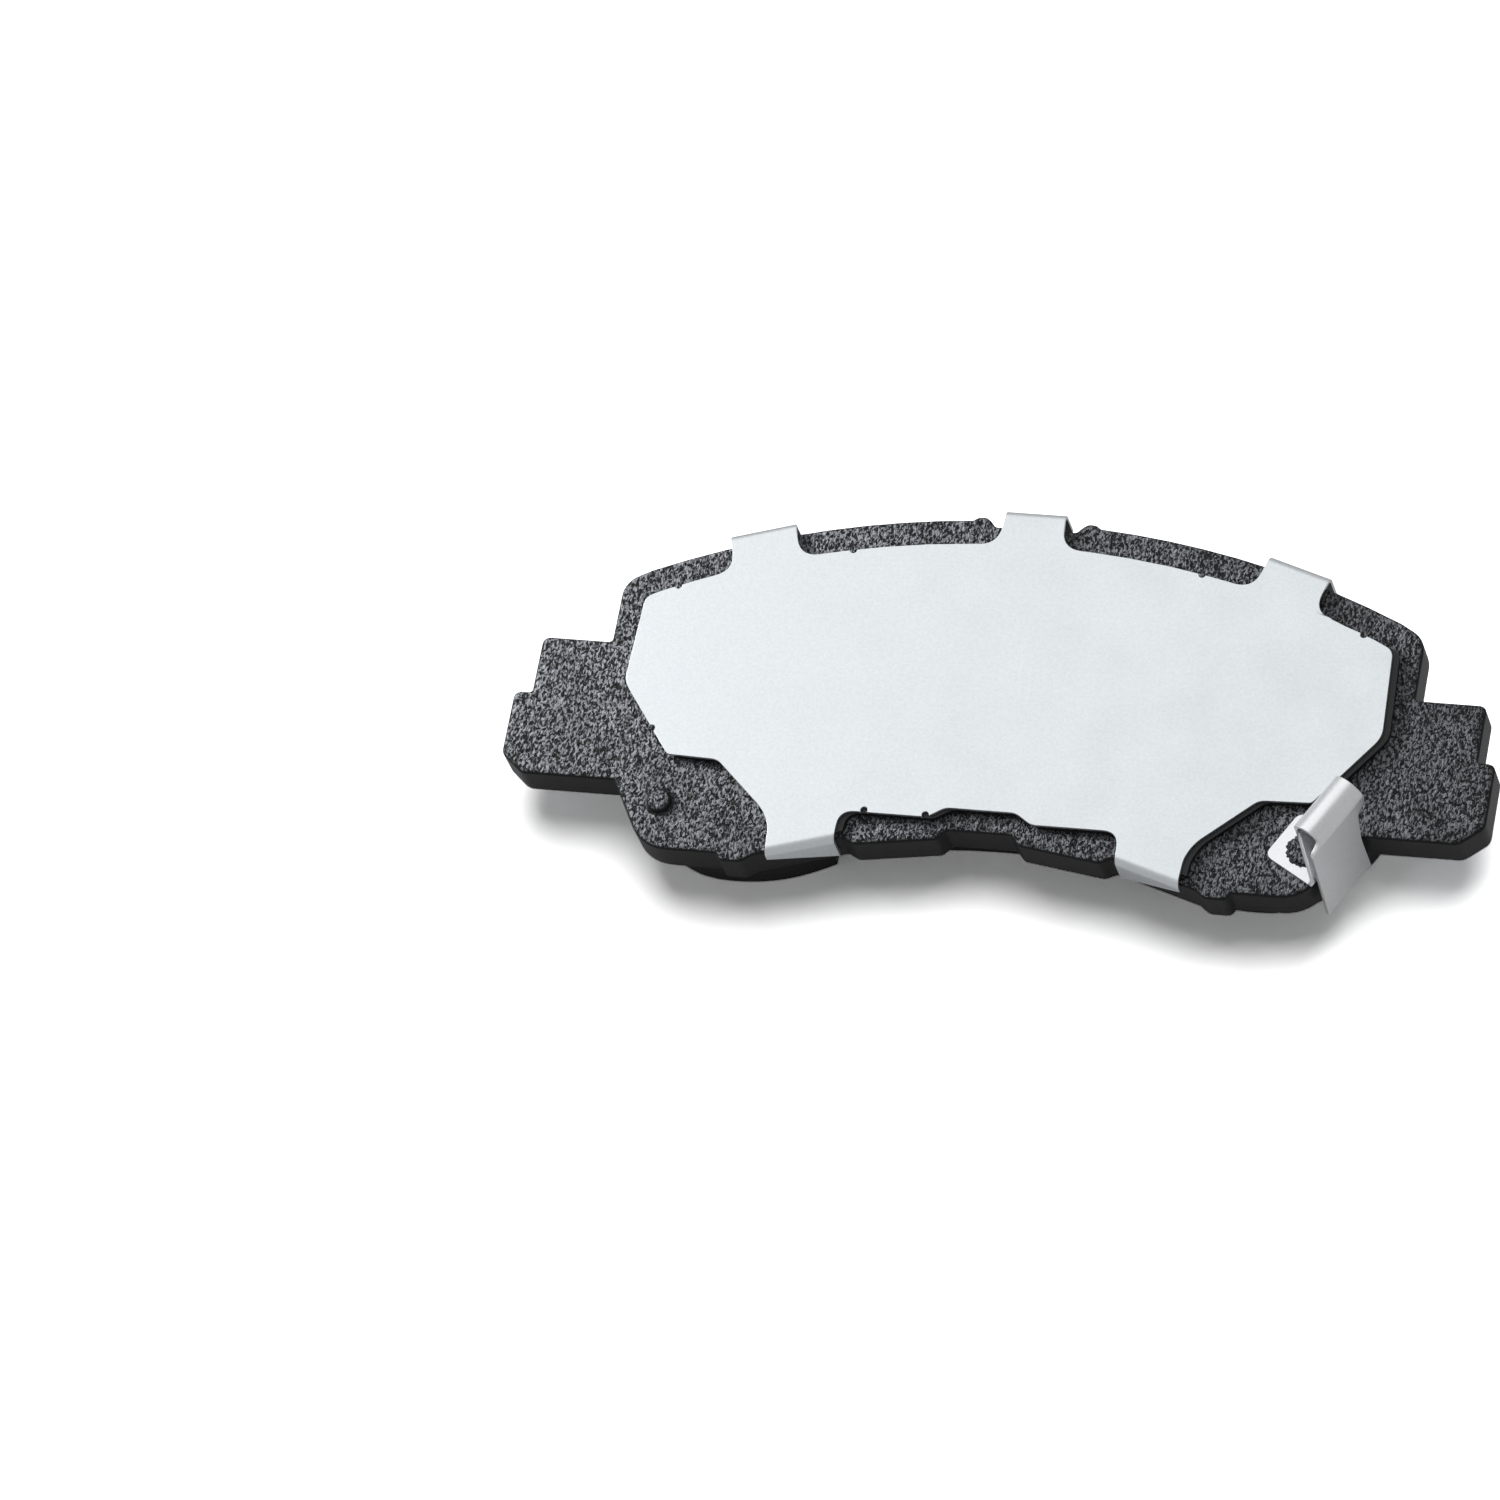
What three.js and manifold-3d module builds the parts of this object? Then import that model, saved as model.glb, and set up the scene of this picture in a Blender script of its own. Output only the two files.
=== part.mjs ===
// Disc brake pad for a passenger car, millimetres.
// It lies on its friction face: +Z points out of the shim side, +Y to the outer rim of the disc.
import * as THREE from 'three';
import { mergeVertices } from 'three/addons/utils/BufferGeometryUtils.js';
import Module from 'manifold-3d';

const wasm = await Module();
wasm.setup();

// Thickness of each layer, from the disc side upwards.
const FRICTION_THICK = 7.2;
const UNDERLAYER_THICK = 1.6;
const BOND_THICK = 0.2;
const PLATE_THICK = 6;
const FILM_THICK = 0.2;
const CORE_THICK = 0.35;
const SHIM_THICK = 0.55;
const CLIP_THICK = 0.65;

// Level of each layer's lower face.
const UNDERLAYER_Z = FRICTION_THICK;
const BOND_Z = UNDERLAYER_Z + UNDERLAYER_THICK;
const PLATE_Z = BOND_Z + BOND_THICK;
const PLATE_FACE_Z = PLATE_Z + PLATE_THICK;
const CORE_Z = PLATE_FACE_Z + FILM_THICK;
const FILM_Z = CORE_Z + CORE_THICK;
const SHIM_Z = FILM_Z + FILM_THICK;

// All upper edges are arcs about one centre, which lies near the wheel's axis.
const ARC_CENTRE_Y = -110;
const PLATE_RADIUS = 139.2;
const SHIM_RADIUS = 134.5;
const FRICTION_RADIUS = 138.2;

// Plate outline.
const SHOULDER_X = 61.1;
const SHOULDER_Y = 14.7;
const EAR_TOP_Y = 4.7;
const EAR_BOTTOM_Y = -17.8;
const EAR_UPPER_X = 71.8;
const EAR_TIP_X = 74.5;
const EAR_STEP_Y = -4.5;
const EAR_CHAMFER = { x: 70.9, y: -14.8 };
const LOBE_BOTTOM_Y = -28.3;
const FLANK_ROOT_X = { left: 56.5, right: 55.6 };
const RECESS_Y = -21.8;
const NOTCH_HALF = 6.2;
const NOTCH_Y = 28;
const NOTCH_BUMP = 0.4;
const TOOTH = { innerX: 35, outerX: 38.2, y: -29.4 };

// The lobe's edge under a lower tab is a sloping line.
const POCKET_START = { x: 20.4, y: -24.3 };
const POCKET_END_X = 33.4;
const POCKET_SLOPE = -0.3;

// Studs pressed out of the plate.
const STUD_X = 48.8;
const STUD_Y = -20.9;
const STUD_RADIUS = 1.9;
const STUD_HEIGHT = 2.5;
const STUD_DOME = 1.2;
const RIVET_HEAD_RADIUS = 2.7;
const RIVET_HEAD_THICK = 0.5;
const RIVET_SHANK_RADIUS = 2;
const RIVET_HOLE_RADIUS = 2.3;

// Shim tabs, bent down over the plate's edges.
const LOWER_TAB_GAP = 0.3;
const TOP_TAB_GAP = 0.8;
const BEND_INNER_RADIUS = 0.75;
const TOP_TAB_HALF = 5;
const MIDDLE_TAB_HALF = 4.6;
const MIDDLE_LEG_Y = 29.75;
const TOP_TAB_ANGLE = THREE.MathUtils.degToRad(17);
const TOP_LEG_END_Z = 10.6;
const LOWER_TAB_INNER_X = 21.2;
const LOWER_TAB_OUTER_X = 31.2;
const LOWER_LEG_END = { innerZ: 10.8, outerZ: 14 };
const RELIEF_RADIUS = 0.55;
const UPPER_RELIEFS_X = [-52.2, -26.6, 26.6, 52.2];
const LOWER_RELIEFS = [[-51.9, -9.6], [-17.4, -20.2], [-8.1, -20.2]];
const INNER_SHIM_SHIFT_X = 1;

// Friction block.
const FRICTION_END_X = 59;
const FRICTION_LEFT_BOTTOM_Y = -26.2;
const FRICTION_RIGHT_BOTTOM_Y = -24.6;
const FRICTION_RECESS_Y = -18.2;
const FRICTION_END_Y = -10;
const LOBE_X = 40;
const ARCH = { x: 21, drop: 2.2 };
const SLOT_X = 22.9;
const SLOT_WIDTH = 3;
const CHAMFER_X = 45;
const CHAMFER_DEPTH = 4.2;
const LIP = 0.7;

// Wear indicator: its section lies across the lobe's flank, which stands 30 degrees off the X axis.
const CLIP_TURN = THREE.MathUtils.degToRad(-30);
const CLIP_BASE_START = 48.3;
const CLIP_BEND = { x: 56.2, radius: 0.9 };
const CLIP_CREST = { x: 55.37, z: 23.6, radius: 2.355 };
const CLIP_BLADE_OUT = 59.27;
const CLIP_BLADE_END_Z = 8.5;
const CLIP_SPLIT = 57;
const CLIP_BASE_Y = { near: 2.4, far: 11.4 };
const CLIP_CREST_Y = { near: 6, far: 15.7 };
const CLIP_BLADE_Y = { near: 2.2, far: 12 };

// How finely curves are divided.
const CURVE_STEPS = 7;
const PUCK_STEPS = 14;
const ROUND_STEPS = 28;
const DOME_STEPS = 8;
const CREST_STEPS = 24;

// How far a cutting solid reaches past what it cuts.
const OVERCUT = 1;

const STEEL_BLACK = { color: 0x24262a, roughness: 0.7, metalness: 0.3 };
const RUBBER_BLACK = { color: 0x101113, roughness: 0.8, metalness: 0 };
const STEEL_SHIM = { color: 0xdde3e6, roughness: 0.4, metalness: 0.9 };
const STEEL_CLIP = { color: 0xc8ccd2, roughness: 0.35, metalness: 0.95 };
const ADHESIVE = { color: 0x3a3226, roughness: 0.8, metalness: 0 };
const UNDERLAYER = { color: 0x33342f, roughness: 0.95, metalness: 0 };
const FRICTION = { color: 0x7d837f, roughness: 0.95, metalness: 0.05 };

function toManifold(geometry) {
  const bare = geometry.index ? geometry.toNonIndexed() : geometry.clone();
  bare.deleteAttribute('normal');
  bare.deleteAttribute('uv');
  const merged = mergeVertices(bare, 1e-5);
  const mesh = new wasm.Mesh({
    numProp: 3,
    vertProperties: new Float32Array(merged.attributes.position.array),
    triVerts: new Uint32Array(merged.index.array),
  });
  return new wasm.Manifold(mesh);
}

function toGeometry(manifold) {
  const mesh = manifold.getMesh();
  const geometry = new THREE.BufferGeometry();
  geometry.setAttribute('position', new THREE.BufferAttribute(mesh.vertProperties, 3));
  geometry.setIndex(new THREE.BufferAttribute(mesh.triVerts, 1));
  return geometry;
}

function pointTowards(from, to, distance) {
  const step = new THREE.Vector2(to[0] - from[0], to[1] - from[1]).setLength(distance);
  return [from[0] + step.x, from[1] + step.y];
}

// A closed outline through corners [x, y, cut]; a cut above zero rounds the corner over that length.
function roundedShape(corners) {
  const shape = new THREE.Shape();
  corners.forEach((corner, i) => {
    const [x, y, cut] = corner;
    const enter = pointTowards(corner, corners.at(i - 1), cut);
    const leave = pointTowards(corner, corners[(i + 1) % corners.length], cut);
    if (i === 0) {
      shape.moveTo(...enter);
    } else {
      shape.lineTo(...enter);
    }
    if (cut > 0) {
      shape.quadraticCurveTo(x, y, ...leave);
    }
  });
  shape.closePath();
  return shape;
}

function otherSide(half) {
  return half.map(([x, y, cut]) => [-x, y, cut]).reverse();
}

function mirrored(half) {
  return [...half, ...otherSide(half)];
}

function slab(shape, z, thick) {
  const geometry = new THREE.ExtrudeGeometry(shape, {
    depth: thick,
    bevelEnabled: false,
    curveSegments: CURVE_STEPS,
  });
  return geometry.translate(0, 0, z);
}

// A shape drawn in Y and Z, drawn out along +X from startX.
function slabAlongX(shape, startX, depth) {
  const toYZ = new THREE.Matrix4().makeBasis(
    new THREE.Vector3(0, 1, 0),
    new THREE.Vector3(0, 0, 1),
    new THREE.Vector3(1, 0, 0),
  );
  return slab(shape, 0, depth).applyMatrix4(toYZ).translate(startX, 0, 0);
}

// A section drawn in X and Z, drawn out along +Y from startY to endY.
function prismAlongY(points, startY, endY) {
  const shape = new THREE.Shape(points.map(([x, z]) => new THREE.Vector2(x, -z)));
  const geometry = new THREE.ExtrudeGeometry(shape, { depth: endY - startY, bevelEnabled: false });
  return geometry.rotateX(-Math.PI / 2).translate(0, startY, 0);
}

function arcY(radius, x) {
  return ARC_CENTRE_Y + Math.sqrt(radius * radius - x * x);
}

function arcCorners(radius, fromX, toX, steps) {
  return Array.from({ length: steps + 1 }, (_, i) => {
    const x = fromX + ((toX - fromX) * i) / steps;
    return [x, arcY(radius, x), 0];
  });
}

function pocketY(x) {
  return POCKET_START.y + POCKET_SLOPE * (x - POCKET_START.x);
}

// One half of the plate, drawn on the right: top notch with the small bump beside it, arc, shoulder,
// stepped ear, slanted flank, lobe with its tooth, pocket under the lower tab, recess in the middle.
function plateHalf(flankRootX) {
  const bumpY = arcY(PLATE_RADIUS, NOTCH_HALF) + NOTCH_BUMP;
  const flankRun = (LOBE_BOTTOM_Y - EAR_BOTTOM_Y) * Math.tan(-CLIP_TURN);
  return [
    [NOTCH_HALF, NOTCH_Y, 0.4],
    [NOTCH_HALF + 0.9, arcY(PLATE_RADIUS, NOTCH_HALF + 0.9), 0],
    [NOTCH_HALF + 1.6, bumpY, 0.3],
    [NOTCH_HALF + 2.7, bumpY, 0.3],
    ...arcCorners(PLATE_RADIUS, NOTCH_HALF + 3.6, 57.2, 9),
    [SHOULDER_X, SHOULDER_Y, 2.4],
    [SHOULDER_X, EAR_TOP_Y, 0.7],
    [EAR_UPPER_X, EAR_TOP_Y, 1.3],
    [EAR_UPPER_X, EAR_STEP_Y, 0.6],
    [EAR_TIP_X, EAR_STEP_Y, 1.3],
    [EAR_TIP_X, EAR_CHAMFER.y, 0.9],
    [EAR_CHAMFER.x, EAR_BOTTOM_Y, 0.9],
    [flankRootX, EAR_BOTTOM_Y, 0.3],
    [flankRootX + flankRun, LOBE_BOTTOM_Y, 4],
    [TOOTH.outerX + 0.7, LOBE_BOTTOM_Y, 0.3],
    [TOOTH.outerX, TOOTH.y, 0.6],
    [TOOTH.innerX, TOOTH.y, 0.6],
    [POCKET_END_X, pocketY(POCKET_END_X), 0],
    [POCKET_START.x, POCKET_START.y, 0.5],
    [18.6, -25.2, 0.5],
    [NOTCH_HALF, -23.4, 0.5],
    [4.8, RECESS_Y, 0.5],
  ];
}

// A turned solid standing at (x, y, z) on a profile of [radius, height] points.
function turned(profile, x, y, z) {
  const points = profile.map(([radius, height]) => new THREE.Vector2(radius, height));
  return new THREE.LatheGeometry(points, ROUND_STEPS).rotateX(Math.PI / 2).translate(x, y, z);
}

// A dome-topped stud. Its foot starts inside the plate so that the two join.
function stud(x, y, z) {
  const profile = [[0, -OVERCUT], [STUD_RADIUS, -OVERCUT]];
  for (let i = 0; i < DOME_STEPS; i += 1) {
    const angle = (i / DOME_STEPS) * (Math.PI / 2);
    const height = STUD_HEIGHT - STUD_DOME + STUD_DOME * Math.sin(angle);
    profile.push([STUD_RADIUS * Math.cos(angle), height]);
  }
  profile.push([0, STUD_HEIGHT]);
  return turned(profile, x, y, z);
}

// The stud that is peened over the wear indicator.
function rivet(x, y, z) {
  const headTop = CLIP_THICK + RIVET_HEAD_THICK;
  const rimTop = CLIP_THICK + RIVET_HEAD_THICK * 0.6;
  const profile = [
    [0, -OVERCUT],
    [RIVET_SHANK_RADIUS, -OVERCUT],
    [RIVET_SHANK_RADIUS, CLIP_THICK],
    [RIVET_HEAD_RADIUS, CLIP_THICK],
    [RIVET_HEAD_RADIUS, rimTop],
    [RIVET_HEAD_RADIUS * 0.8, headTop],
    [0, headTop],
  ];
  return turned(profile, x, y, z);
}

function backingPlate() {
  const outline = [...plateHalf(FLANK_ROOT_X.right), ...otherSide(plateHalf(FLANK_ROOT_X.left))];
  const plate = toManifold(slab(roundedShape(outline), PLATE_Z, PLATE_THICK));
  const plain = toManifold(stud(-STUD_X, STUD_Y, PLATE_FACE_Z));
  const peened = toManifold(rivet(STUD_X, STUD_Y, PLATE_FACE_Z));
  return toGeometry(plate.add(plain).add(peened));
}

// The friction block's outline; grow widens it on every side. The left lobe reaches lower than the right.
function puckShape(grow) {
  const radius = FRICTION_RADIUS + grow;
  const endX = FRICTION_END_X + grow;
  const corner = Math.asin(endX / radius);
  const rightY = FRICTION_RIGHT_BOTTOM_Y - grow;
  const leftY = FRICTION_LEFT_BOTTOM_Y - grow;
  const recessY = FRICTION_RECESS_Y - grow;
  const archY = recessY - ARCH.drop;
  const shape = new THREE.Shape();
  shape.moveTo(endX, arcY(radius, endX));
  shape.lineTo(endX, FRICTION_END_Y);
  shape.bezierCurveTo(endX, FRICTION_END_Y - 7, LOBE_X + 10.5, rightY, LOBE_X, rightY);
  shape.bezierCurveTo(LOBE_X - 9, rightY, ARCH.x + 6, archY - 1.8, ARCH.x, archY);
  shape.quadraticCurveTo(ARCH.x / 2, recessY, 0, recessY);
  shape.quadraticCurveTo(-ARCH.x / 2, recessY, -ARCH.x, archY);
  shape.bezierCurveTo(-ARCH.x - 6, archY - 3, -LOBE_X + 9, leftY, -LOBE_X, leftY);
  shape.bezierCurveTo(-LOBE_X - 10.5, leftY, -endX, FRICTION_END_Y - 7, -endX, FRICTION_END_Y);
  shape.lineTo(-endX, arcY(radius, endX));
  shape.absarc(0, ARC_CENTRE_Y, radius, Math.PI / 2 + corner, Math.PI / 2 - corner, true);
  return shape;
}

function puck(grow, z, thick) {
  return new THREE.ExtrudeGeometry(puckShape(grow), {
    depth: thick,
    bevelEnabled: false,
    curveSegments: PUCK_STEPS,
  }).translate(0, 0, z);
}

// One block of friction material between two X positions, with its end chamfered where it has one.
function frictionBlock(startX, endX) {
  const whole = toManifold(puck(0, 0, FRICTION_THICK));
  const reach = PLATE_RADIUS;
  const below = -OVERCUT;
  const above = FRICTION_THICK + OVERCUT;
  const span = [[startX, below], [endX, below], [endX, above], [startX, above]];
  let block = whole.intersect(toManifold(prismAlongY(span, -reach, reach)));
  const slope = CHAMFER_DEPTH / (FRICTION_END_X - CHAMFER_X);
  for (const side of [-1, 1]) {
    const wedge = [
      [side * (CHAMFER_X + below / slope), below],
      [side * reach, slope * (reach - CHAMFER_X)],
      [side * reach, below],
    ];
    block = block.subtract(toManifold(prismAlongY(wedge, -reach, reach)));
  }
  return toGeometry(block);
}

// A point beside the right-hand upper tab: across the tab, and out from the arcs' centre.
function tabPoint(across, radius) {
  const x = radius * Math.sin(TOP_TAB_ANGLE) + across * Math.cos(TOP_TAB_ANGLE);
  const y = ARC_CENTRE_Y + radius * Math.cos(TOP_TAB_ANGLE) - across * Math.sin(TOP_TAB_ANGLE);
  return [x, y];
}

// A shim's right side and lower edge, down to the middle of the pad. The lower tab's flat part stops
// tabEndGap short of the plate's edge.
function lowerSideCorners(tabEndGap) {
  const rise = tabEndGap * Math.hypot(1, POCKET_SLOPE);
  return [
    [56.9, 11.75, 1.2],
    [57.5, -2.3, 1.5],
    [48.8, -13.6, 0.5],
    [41, -13.85, 1],
    [32.5, -21.5, 1.5],
    [LOWER_TAB_OUTER_X + 0.2, -24, 0.9],
    [LOWER_TAB_OUTER_X, pocketY(LOWER_TAB_OUTER_X) + rise, 0],
    [LOWER_TAB_INNER_X, pocketY(LOWER_TAB_INNER_X) + rise, 0],
    [LOWER_TAB_INNER_X - 0.1, -20.5, 2.4],
    [7.9, -20.5, 0.8],
    [5.3, -18.8, 0.8],
  ];
}

// The outer shim's flat part, right half: middle tab, arc, side tab with wide fillets, arc, lower side.
function outerShimHalf() {
  const flatEnd = PLATE_RADIUS + TOP_TAB_GAP - BEND_INNER_RADIUS;
  return [
    [MIDDLE_TAB_HALF, MIDDLE_LEG_Y - BEND_INNER_RADIUS, 0],
    [MIDDLE_TAB_HALF + 0.3, arcY(SHIM_RADIUS, 5), 3],
    ...arcCorners(SHIM_RADIUS, 9, 28, 3),
    [...tabPoint(-TOP_TAB_HALF, SHIM_RADIUS), 3],
    [...tabPoint(-TOP_TAB_HALF, flatEnd), 0],
    [...tabPoint(TOP_TAB_HALF, flatEnd), 0],
    [...tabPoint(TOP_TAB_HALF, SHIM_RADIUS), 3],
    ...arcCorners(SHIM_RADIUS, 49.5, 54, 1),
    ...lowerSideCorners(BEND_INNER_RADIUS - LOWER_TAB_GAP),
  ];
}

// A tab's bend and leg: section in local Y and Z, where local Y points away from the plate's edge,
// drawn out along local X. The leg's inner face stands at local y = 0, and the bend blends into the flat.
function tabHook(width, legEndZ) {
  const centreY = -BEND_INNER_RADIUS;
  const centreZ = SHIM_Z - BEND_INNER_RADIUS;
  const shape = new THREE.Shape();
  shape.moveTo(centreY, SHIM_Z + SHIM_THICK);
  shape.absarc(centreY, centreZ, BEND_INNER_RADIUS + SHIM_THICK, Math.PI / 2, 0, true);
  shape.lineTo(SHIM_THICK, legEndZ);
  shape.lineTo(0, legEndZ);
  shape.absarc(centreY, centreZ, BEND_INNER_RADIUS, 0, Math.PI / 2, false);
  return slabAlongX(shape, -width / 2, width);
}

function topTabHook(side) {
  const hook = tabHook(2 * TOP_TAB_HALF, TOP_LEG_END_Z);
  hook.translate(0, PLATE_RADIUS + TOP_TAB_GAP, 0).rotateZ(-side * TOP_TAB_ANGLE);
  return toManifold(hook.translate(0, ARC_CENTRE_Y, 0));
}

// The lower tab's bend follows the sloping pocket; its sides stay parallel to Y and its leg is longest
// on the side nearer the middle of the pad.
function lowerTabHook(side) {
  const middleX = (LOWER_TAB_INNER_X + LOWER_TAB_OUTER_X) / 2;
  const width = LOWER_TAB_OUTER_X - LOWER_TAB_INNER_X;
  const turn = Math.PI + side * Math.atan(POCKET_SLOPE);
  const hook = tabHook(2 * width, PLATE_Z).translate(0, LOWER_TAB_GAP, 0).rotateZ(turn);
  const placed = toManifold(hook.translate(side * middleX, pocketY(middleX), 0));
  const strip = [
    [side * LOWER_TAB_INNER_X, LOWER_LEG_END.innerZ],
    [side * LOWER_TAB_OUTER_X, LOWER_LEG_END.outerZ],
    [side * LOWER_TAB_OUTER_X, SHIM_Z + OVERCUT],
    [side * LOWER_TAB_INNER_X, SHIM_Z + OVERCUT],
  ];
  return placed.intersect(toManifold(prismAlongY(strip, -PLATE_RADIUS, 0)));
}

// A small round nick in the shim's edge, left by the press tool.
function reliefCut(x, y) {
  const cut = new THREE.CylinderGeometry(RELIEF_RADIUS, RELIEF_RADIUS, 2, 12).rotateX(Math.PI / 2);
  return toManifold(cut.translate(x, y, SHIM_Z));
}

function outerShim() {
  let shim = toManifold(slab(roundedShape(mirrored(outerShimHalf())), SHIM_Z, SHIM_THICK));
  const middleHook = tabHook(2 * MIDDLE_TAB_HALF, TOP_LEG_END_Z).translate(0, MIDDLE_LEG_Y, 0);
  shim = shim.add(toManifold(middleHook));
  for (const side of [-1, 1]) {
    shim = shim.add(topTabHook(side)).add(lowerTabHook(side));
  }
  for (const x of UPPER_RELIEFS_X) {
    shim = shim.subtract(reliefCut(x, arcY(SHIM_RADIUS, x)));
  }
  for (const [x, y] of LOWER_RELIEFS) {
    shim = shim.subtract(reliefCut(x, y));
  }
  return toGeometry(shim);
}

// The black shim under the outer one: same lower outline, no upper tabs, sitting a little to the right.
function innerShimLayer(z, thick) {
  const half = [...arcCorners(SHIM_RADIUS - 0.3, 3, 54, 8), ...lowerSideCorners(1)];
  return slab(roundedShape(mirrored(half)), z, thick).translate(INNER_SHIM_SHIFT_X, 0, 0);
}

// The indicator's middle line, across the flank (x) and up (z): base, tight bend, leaning upright,
// round crest and the blade that hangs down past the plate's edge.
function clipMiddleLine() {
  const baseZ = PLATE_FACE_Z + CLIP_THICK / 2;
  const bendZ = baseZ + CLIP_BEND.radius;
  const gapX = CLIP_CREST.x - CLIP_BEND.x;
  const gapZ = CLIP_CREST.z - bendZ;
  const lean = Math.atan2(-gapX, gapZ)
    + Math.asin((CLIP_BEND.radius + CLIP_CREST.radius) / Math.hypot(gapX, gapZ));
  const line = [[CLIP_BASE_START, baseZ]];
  for (let i = 0; i <= DOME_STEPS; i += 1) {
    const angle = -Math.PI / 2 + ((Math.PI / 2 + lean) * i) / DOME_STEPS;
    line.push([
      CLIP_BEND.x + CLIP_BEND.radius * Math.cos(angle),
      bendZ + CLIP_BEND.radius * Math.sin(angle),
    ]);
  }
  for (let i = 0; i <= CREST_STEPS; i += 1) {
    const angle = Math.PI + lean - ((Math.PI + lean) * i) / CREST_STEPS;
    line.push([
      CLIP_CREST.x + CLIP_CREST.radius * Math.cos(angle),
      CLIP_CREST.z + CLIP_CREST.radius * Math.sin(angle),
    ]);
  }
  line.push([CLIP_BLADE_OUT - CLIP_THICK / 2, CLIP_BLADE_END_Z]);
  return line;
}

// Gives a line of points the sheet's thickness: one side out, the other side back.
function thickened(line, thick) {
  const side = (offset) => line.map(([x, z], i) => {
    const before = line[Math.max(i - 1, 0)];
    const after = line[Math.min(i + 1, line.length - 1)];
    const along = new THREE.Vector2(after[0] - before[0], after[1] - before[1]).normalize();
    return [x - along.y * offset, z + along.x * offset];
  });
  return [...side(thick / 2), ...side(-thick / 2).reverse()];
}

// Everything inside corners in the Y, Z plane, between two X positions.
function sideKeep(corners, startX, endX) {
  return toManifold(slabAlongX(roundedShape(corners), startX, endX - startX));
}

// Where the sheet is kept, seen from above: the base under the rivet.
function clipBaseKeep() {
  const { near, far } = CLIP_BASE_Y;
  const outline = roundedShape([
    [CLIP_SPLIT + OVERCUT, near, 0],
    [CLIP_SPLIT + OVERCUT, far, 0],
    [CLIP_BASE_START + 2.3, far, 1],
    [CLIP_BASE_START, far - 1, 1],
    [CLIP_BASE_START, near, 1.4],
  ]);
  return toManifold(slab(outline, PLATE_FACE_Z - OVERCUT, CLIP_THICK + OVERCUT));
}

// Where it is kept, seen from the side: the upright slants over to the crest.
function clipUprightKeep() {
  const baseTop = PLATE_FACE_Z + CLIP_THICK;
  const crestTop = CLIP_CREST.z + CLIP_CREST.radius + OVERCUT;
  return sideKeep([
    [CLIP_BASE_Y.near, baseTop, 0],
    [CLIP_BASE_Y.far, baseTop, 0],
    [CLIP_CREST_Y.far, CLIP_CREST.z - 2, 0.8],
    [CLIP_CREST_Y.far, crestTop, 0],
    [CLIP_CREST_Y.near, crestTop, 0],
    [CLIP_CREST_Y.near, CLIP_CREST.z - 1, 0.8],
  ], 0, CLIP_SPLIT);
}

// The blade steps in below the crest on both edges and tapers to its end.
function clipBladeKeep() {
  const { near, far } = CLIP_BLADE_Y;
  const crestTop = CLIP_CREST.z + CLIP_CREST.radius + OVERCUT;
  return sideKeep([
    [near, CLIP_BLADE_END_Z - OVERCUT, 0],
    [far, CLIP_BLADE_END_Z - OVERCUT, 0],
    [far, CLIP_BLADE_END_Z, 1],
    [far + 0.4, PLATE_FACE_Z + 1, 0.8],
    [far + 1.6, CLIP_CREST.z - 2, 0.5],
    [CLIP_CREST_Y.far, CLIP_CREST.z - 0.6, 0.8],
    [CLIP_CREST_Y.far, crestTop, 0],
    [CLIP_CREST_Y.near, crestTop, 0],
    [CLIP_CREST_Y.near, CLIP_CREST.z + 1, 0.5],
    [near + 1.7, CLIP_CREST.z + 0.2, 0.6],
    [near, CLIP_BLADE_END_Z, 0.6],
  ], CLIP_SPLIT, CLIP_SPLIT + 10);
}

function wearIndicator() {
  const section = thickened(clipMiddleLine(), CLIP_THICK);
  const sheet = toManifold(prismAlongY(section, 0, CLIP_CREST_Y.far + OVERCUT));
  const keep = clipBaseKeep().add(clipUprightKeep()).add(clipBladeKeep());
  const turnedStud = new THREE.Vector2(STUD_X, STUD_Y).rotateAround(new THREE.Vector2(), -CLIP_TURN);
  const hole = new THREE.CylinderGeometry(RIVET_HOLE_RADIUS, RIVET_HOLE_RADIUS, 3, ROUND_STEPS);
  hole.rotateX(Math.PI / 2).translate(turnedStud.x, turnedStud.y, PLATE_FACE_Z);
  return toGeometry(sheet.intersect(keep).subtract(toManifold(hole)));
}

const pad = new THREE.Group();

function addPart(name, geometry, look, turn = 0) {
  const mesh = new THREE.Mesh(geometry, new THREE.MeshStandardMaterial(look));
  mesh.name = name;
  mesh.rotation.z = turn;
  pad.add(mesh);
}

const nearEdge = SLOT_X - SLOT_WIDTH / 2;
const farEdge = SLOT_X + SLOT_WIDTH / 2;
const pastEnd = FRICTION_END_X + OVERCUT;
addPart('friction_left', frictionBlock(-pastEnd, -farEdge), FRICTION);
addPart('friction_centre', frictionBlock(-nearEdge, nearEdge), FRICTION);
addPart('friction_right', frictionBlock(farEdge, pastEnd), FRICTION);
addPart('underlayer', puck(LIP, UNDERLAYER_Z, UNDERLAYER_THICK), UNDERLAYER);
addPart('bond_layer', puck(0, BOND_Z, BOND_THICK), ADHESIVE);
addPart('backing_plate', backingPlate(), STEEL_BLACK);
addPart('inner_shim_film_plate_side', innerShimLayer(PLATE_FACE_Z, FILM_THICK), RUBBER_BLACK);
addPart('inner_shim_core', innerShimLayer(CORE_Z, CORE_THICK), STEEL_BLACK);
addPart('inner_shim_film_outer_side', innerShimLayer(FILM_Z, FILM_THICK), RUBBER_BLACK);
addPart('outer_shim', outerShim(), STEEL_SHIM);
addPart('wear_indicator', wearIndicator(), STEEL_CLIP, CLIP_TURN);

export default pad;
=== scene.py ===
"""Disc brake pad, lying on its friction face: plate, friction blocks, shims and wear indicator."""

import math

import bmesh
import bpy
from mathutils import Matrix, Vector, noise


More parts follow.
